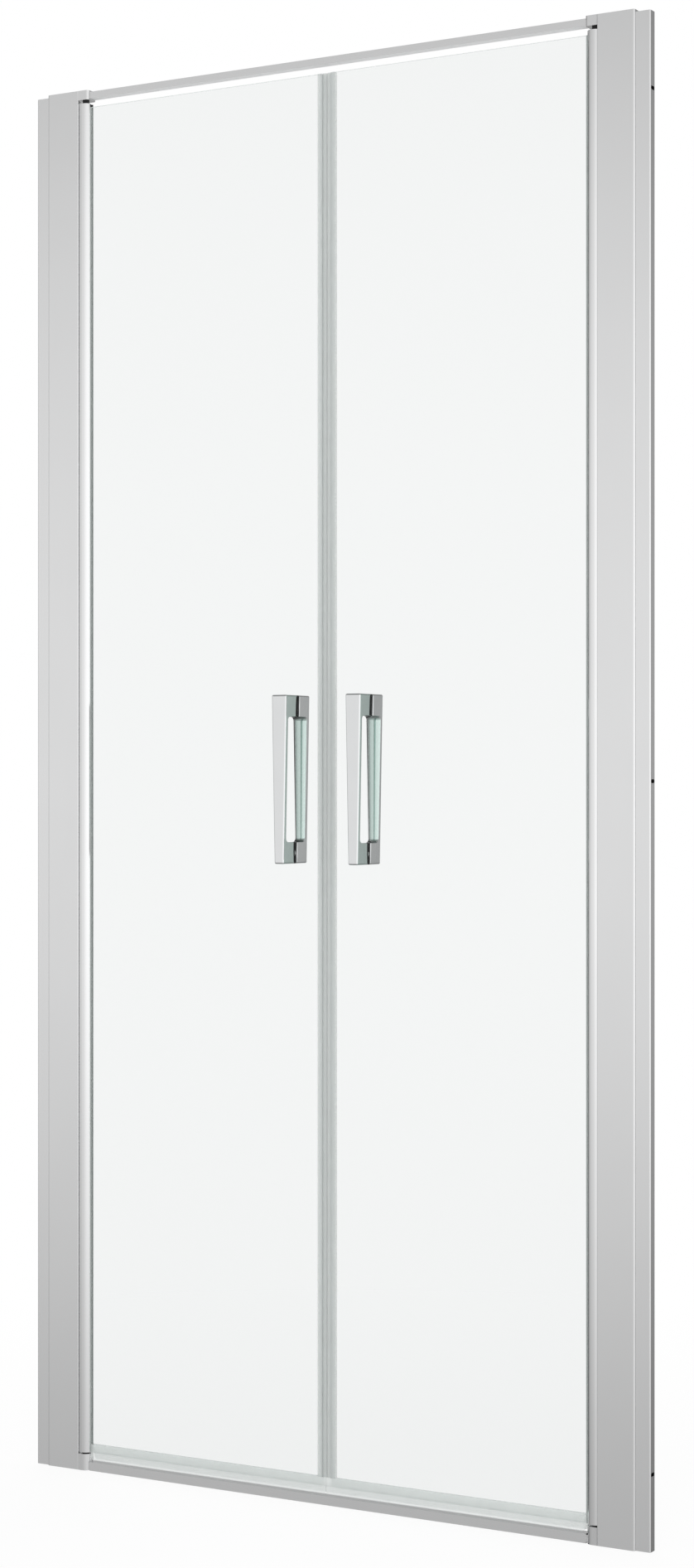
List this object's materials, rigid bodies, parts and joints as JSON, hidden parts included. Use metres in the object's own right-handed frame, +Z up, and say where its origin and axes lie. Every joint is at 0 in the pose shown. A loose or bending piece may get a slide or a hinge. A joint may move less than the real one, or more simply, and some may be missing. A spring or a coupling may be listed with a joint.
{
  "type": "double swing shower door",
  "caption": "Niche shower door whose glass wings swing in and out on pivots between wall-fixed aluminium posts, with chrome handles and clear seal strips.",
  "frame": {"origin": "on the floor, in the middle between the walls and in the middle of the glass's thickness", "axes": "+X towards the right wall as seen from outside the shower, +Y into the shower, +Z up"},
  "size_m": [0.93, 0.063, 1.9],
  "materials": {
    "satin_aluminium": "satin, silver anodised",
    "satin_cap": "satin, silver",
    "black_bush": "matt black",
    "steel_screw": "plain stainless",
    "steel_pin": "ground stainless",
    "clear_glass": "clear toughened",
    "clear_gasket": "soft translucent grey",
    "clear_seal": "clear to milky, soft",
    "chrome_handle": "polished chrome",
    "black_rubber": "matt black",
    "pale_sleeve": "milky"
  },
  "bodies": {
    "frame": {"header_rail": "satin_aluminium", "sill_rail": "satin_aluminium", "header_screws": "steel_screw", "sill_screws": "steel_screw", "left_wall_profile": "satin_aluminium", "right_wall_profile": "satin_aluminium", "left_post": "satin_aluminium", "right_post": "satin_aluminium", "left_top_cap": "satin_cap", "right_top_cap": "satin_cap", "left_bottom_cap": "satin_cap", "right_bottom_cap": "satin_cap", "left_top_bush": "black_bush", "right_top_bush": "black_bush", "left_bottom_bush": "black_bush", "right_bottom_bush": "black_bush", "left_top_cap_screw": "steel_screw", "right_top_cap_screw": "steel_screw", "left_bottom_cap_screw": "steel_screw", "right_bottom_cap_screw": "steel_screw", "left_adjusting_screws": "steel_screw", "right_adjusting_screws": "steel_screw"},
    "left_wing": {"left_hinge_profile": "satin_aluminium", "left_glass": "clear_glass", "left_glazing_gasket": "clear_gasket", "left_top_plug": "black_bush", "left_bottom_plug": "black_bush", "left_top_pin": "steel_pin", "left_bottom_pin": "steel_pin", "left_centre_seal": "clear_seal", "left_bottom_seal": "clear_seal", "left_outer_handle": "chrome_handle", "left_inner_handle": "chrome_handle", "left_handle_gaskets": "black_rubber", "left_handle_sleeves": "pale_sleeve", "left_handle_studs": "steel_screw", "left_handle_grub_screws": "steel_screw"},
    "right_wing": {"right_hinge_profile": "satin_aluminium", "right_glass": "clear_glass", "right_glazing_gasket": "clear_gasket", "right_top_plug": "black_bush", "right_bottom_plug": "black_bush", "right_top_pin": "steel_pin", "right_bottom_pin": "steel_pin", "right_centre_seal": "clear_seal", "right_bottom_seal": "clear_seal", "right_outer_handle": "chrome_handle", "right_inner_handle": "chrome_handle", "right_handle_gaskets": "black_rubber", "right_handle_sleeves": "pale_sleeve", "right_handle_studs": "steel_screw", "right_handle_grub_screws": "steel_screw"}
  },
  "joints": [
    {"name": "left_wing_swing", "type": "hinge", "parent": "frame", "child": "left_wing", "pos_m": [-0.3875, 0, 0.95], "axis": [0, 0, 1], "range_deg": [-90, 90]},
    {"name": "right_wing_swing", "type": "hinge", "parent": "frame", "child": "right_wing", "pos_m": [0.3875, 0, 0.95], "axis": [0, 0, 1], "range_deg": [-90, 90]}
  ]
}
